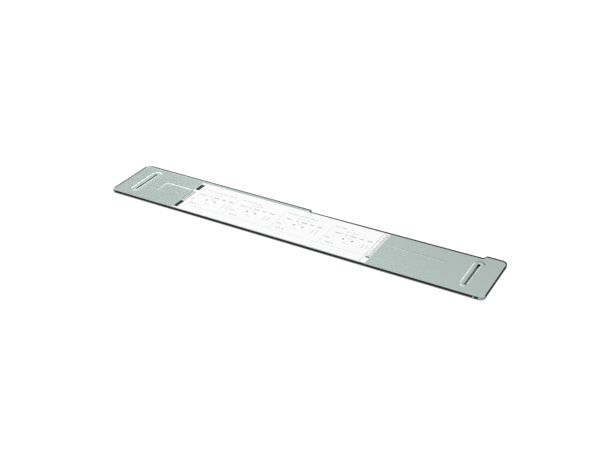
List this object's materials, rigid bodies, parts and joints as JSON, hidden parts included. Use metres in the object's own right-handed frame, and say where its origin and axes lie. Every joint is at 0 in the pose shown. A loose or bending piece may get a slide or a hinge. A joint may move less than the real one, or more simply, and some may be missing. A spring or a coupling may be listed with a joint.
{
  "type": "slide rule",
  "caption": "Flat sheet-metal slide-chart rule: a thin sandwich case with a long inner slide, slit windows and a printed face card.",
  "frame": {"origin": "centre of the underside of the whole outline", "axes": "+X along the rule towards the end with the ear, +Y from the plain near edge to the far edge with the thumb recess, +Z out of the printed face"},
  "size_m": [0.3, 0.0496, 0.0028],
  "materials": {
    "satin_aluminium": "clear-anodised sheet, satin, slightly green grey",
    "grey_aluminium": "clear-anodised sheet, satin",
    "black_plastic": "moulded, matt black",
    "white_card": "coated printed card, pale grey print",
    "clear_film": "clear film",
    "spring_steel": "rolled spring strip",
    "rivet_aluminium": "plain, set flush",
    "black_aluminium": "black-anodised sheet, satin",
    "white_scale": "printed plastic film, matt",
    "grip_plastic": "moulded, fine ribs"
  },
  "bodies": {
    "case": {"face_cover": "satin_aluminium", "back_cover": "grey_aluminium", "near_rail": "black_plastic", "far_rail_left": "black_plastic", "far_rail_right": "black_plastic", "face_card": "white_card", "index_pane": "clear_film", "left_drag_spring": "spring_steel", "right_drag_spring": "spring_steel", "stop_rivet": "rivet_aluminium", "back_rivets": "rivet_aluminium"},
    "slide": {"slide_plate": "black_aluminium", "scale_strip": "white_scale", "grip_strip": "grip_plastic", "left_end_cap": "grip_plastic", "right_end_cap": "grip_plastic"}
  },
  "joints": [
    {"name": "slide_travel", "type": "slide", "parent": "case", "child": "slide", "axis": [1, 0, 0], "range_m": [-0.1, 0.1]}
  ]
}
